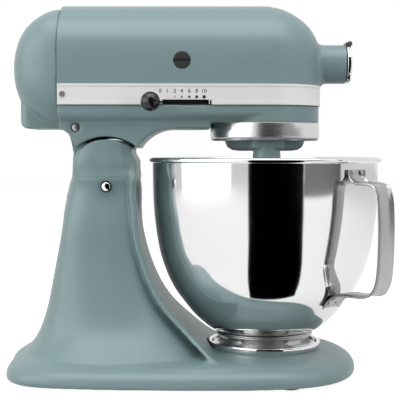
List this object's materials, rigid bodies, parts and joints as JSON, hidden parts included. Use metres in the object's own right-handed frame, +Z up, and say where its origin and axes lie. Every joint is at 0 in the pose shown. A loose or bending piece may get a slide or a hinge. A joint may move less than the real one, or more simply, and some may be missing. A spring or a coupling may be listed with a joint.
{
  "type": "stand mixer",
  "caption": "Tilt-head kitchen stand mixer with a cast pedestal, planetary beater drive, front attachment hub, speed lever and twist-lock steel bowl with a handle.",
  "frame": {"origin": "centre of the footprint box on the table, under the rubber feet", "axes": "+X forward out of the attachment hub, +Z up, +Y towards the side of the lock lever"},
  "size_m": [0.3629, 0.2266, 0.3564],
  "materials": {
    "body_paint": "satin powder coat",
    "chrome_trim": "polished",
    "brushed_band": "brushed",
    "bowl_steel": "mirror polished",
    "machined_steel": "machined",
    "black_gloss": "gloss",
    "dark_plastic": "matte",
    "rubber_grey": "matte",
    "cast_aluminium": "cast",
    "copper_wire": "enamelled",
    "gear_bronze": "machined",
    "carbon": "matte",
    "coated_beater": "satin",
    "lamination_steel": "dull"
  },
  "bodies": {
    "pedestal": {"pedestal_casting": "body_paint", "bottom_cover": "machined_steel", "rubber_feet": "rubber_grey", "bowl_clamp_plate": "chrome_trim", "clamp_plate_screws": "machined_steel", "bottom_cover_screws": "machined_steel", "beater_height_screw": "machined_steel", "hinge_pin": "chrome_trim", "lock_spring": "machined_steel"},
    "lock_lever": {"lock_shaft": "chrome_trim", "lock_lever": "black_gloss"},
    "lock_plunger": {"lock_plunger": "machined_steel"},
    "head": {"motor_housing": "body_paint", "gearcase_casting": "body_paint", "rear_cover": "body_paint", "rear_cover_screw": "machined_steel", "cord_gland": "dark_plastic", "trim_band": "brushed_band", "trim_screws": "machined_steel", "housing_screws": "machined_steel", "drip_ring": "chrome_trim", "hub_sleeve": "machined_steel", "hub_cover_pin": "machined_steel", "brush_caps": "dark_plastic", "brush_holders": "gear_bronze", "carbon_brushes": "carbon", "brush_springs": "machined_steel", "stator_core": "lamination_steel", "field_coils": "copper_wire", "motor_bearings": "gear_bronze", "bearing_brackets": "cast_aluminium", "control_board": "dark_plastic", "shaft_bushings": "gear_bronze", "ring_gear": "machined_steel"},
    "hub_cover": {"hub_cover": "chrome_trim"},
    "attachment_knob": {"attachment_knob": "black_gloss"},
    "speed_control": {"speed_lever": "chrome_trim", "speed_knob": "black_gloss"},
    "armature": {"armature_shaft": "machined_steel", "armature_core": "lamination_steel", "armature_windings": "copper_wire", "commutator": "copper_wire", "cooling_fan": "dark_plastic", "governor": "machined_steel"},
    "reduction": {"worm_wheel": "gear_bronze", "reduction_pinion": "machined_steel"},
    "planetary": {"centre_shaft": "machined_steel", "centre_gear": "machined_steel", "centre_bevel_gear": "machined_steel", "planetary_carrier": "body_paint", "agitator_bush": "gear_bronze"},
    "agitator": {"agitator_shaft": "machined_steel", "agitator_pinion": "machined_steel", "agitator_cross_pin": "machined_steel", "flat_beater": "coated_beater"},
    "hub_drive": {"hub_drive_shaft": "machined_steel"},
    "bowl": {"bowl_shell": "bowl_steel", "bowl_foot": "bowl_steel", "bowl_handle": "bowl_steel"}
  },
  "joints": [
    {"name": "head_tilt", "type": "hinge", "parent": "pedestal", "child": "head", "pos_m": [-0.1122, 0, 0.238], "axis": [0, -1, 0], "range_deg": [0, 45]},
    {"name": "lock_turn", "type": "hinge", "parent": "pedestal", "child": "lock_lever", "pos_m": [-0.0835, 0, 0.1825], "axis": [0, 1, 0], "range_deg": [0, 40]},
    {"name": "lock_bolt", "type": "slide", "parent": "pedestal", "child": "lock_plunger", "axis": [0, 0, 1], "range_m": [0, 0.006], "deforming": ["lock_spring"]},
    {"name": "hub_cover_flip", "type": "hinge", "parent": "head", "child": "hub_cover", "pos_m": [0.1499, 0, 0.3198], "axis": [0, -1, 0], "range_deg": [0, 90]},
    {"name": "attachment_knob_turn", "type": "hinge", "parent": "head", "child": "attachment_knob", "pos_m": [0.1345, 0.02, 0.3003], "axis": [0, 1, 0], "range_deg": [0, 360]},
    {"name": "speed_slide", "type": "slide", "parent": "head", "child": "speed_control", "axis": [1, 0, 0], "range_m": [0, 0.04]},
    {"name": "planetary_spin", "type": "hinge", "parent": "head", "child": "planetary", "pos_m": [0.068, 0, 0.23], "axis": [0, 0, 1], "continuous": true},
    {"name": "agitator_spin", "type": "hinge", "parent": "planetary", "child": "agitator", "pos_m": [0.068, -0.0325, 0.23], "axis": [0, 0, 1], "continuous": true},
    {"name": "reduction_spin", "type": "hinge", "parent": "head", "child": "reduction", "pos_m": [0.02443, 0.0265, 0.28], "axis": [0, 0, 1], "continuous": true},
    {"name": "armature_spin", "type": "hinge", "parent": "head", "child": "armature", "pos_m": [-0.06, 0, 0.3003], "axis": [1, 0, 0], "continuous": true},
    {"name": "hub_drive_spin", "type": "hinge", "parent": "head", "child": "hub_drive", "pos_m": [0.095, 0, 0.3003], "axis": [1, 0, 0], "continuous": true},
    {"name": "bowl_twist", "type": "hinge", "parent": "pedestal", "child": "bowl", "pos_m": [0.068, 0, 0.025], "axis": [0, 0, 1], "range_deg": [0, 30]}
  ],
  "couplings": [
    {"joint": "lock_bolt", "follows": "lock_turn", "m_per_rad": 0.0085944},
    {"joint": "agitator_spin", "follows": "planetary_spin", "ratio": -3.6},
    {"joint": "reduction_spin", "follows": "planetary_spin", "ratio": -3.8571},
    {"joint": "armature_spin", "follows": "planetary_spin", "ratio": 100.29},
    {"joint": "hub_drive_spin", "follows": "planetary_spin", "ratio": 1}
  ]
}
